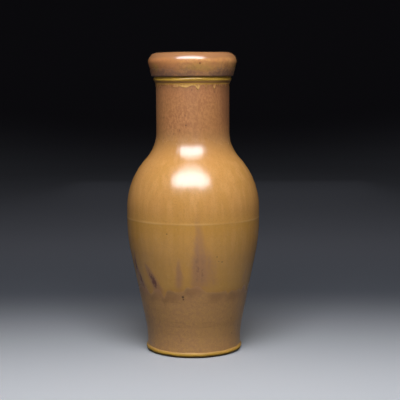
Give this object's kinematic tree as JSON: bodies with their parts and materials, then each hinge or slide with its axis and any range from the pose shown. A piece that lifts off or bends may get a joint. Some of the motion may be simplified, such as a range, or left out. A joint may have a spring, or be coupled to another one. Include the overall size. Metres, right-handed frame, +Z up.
{
  "type": "baluster vase",
  "caption": "Tall stoneware vase with a rolled rim, beaded straight neck, round shoulder, tapering body and glazed foot, for cut flowers or display.",
  "frame": {"origin": "on the table, under the centre of the foot ring", "axes": "+Z up along the axis of the vase, -Y towards the side that the picture shows, +X to its right"},
  "size_m": [0.1622, 0.1622, 0.36],
  "materials": {
    "clay": "bare fired stoneware, matt and slightly gritty",
    "slip": "fired luting slip, matt",
    "salmon_glaze": "satin salmon-tan glaze with iron specks",
    "ochre_glaze": "glossy golden ochre glaze that has run in streaks",
    "honey_glaze": "glossy honey-yellow glaze where it is thick",
    "liner_glaze": "satin tan liner glaze"
  },
  "bodies": {
    "root": {"foot_ring": "clay", "floor_disc": "clay", "lower_body": "clay", "upper_body": "clay", "neck": "clay", "neck_bead": "clay", "rolled_rim": "clay", "foot_slip": "slip", "floor_slip": "slip", "belly_slip": "slip", "neck_slip": "slip", "rim_slip": "slip", "base_glaze": "salmon_glaze", "ochre_glaze": "ochre_glaze", "collar_glaze": "honey_glaze", "rim_glaze": "salmon_glaze", "foot_glaze": "honey_glaze", "liner_glaze": "liner_glaze"}
  },
  "joints": []
}
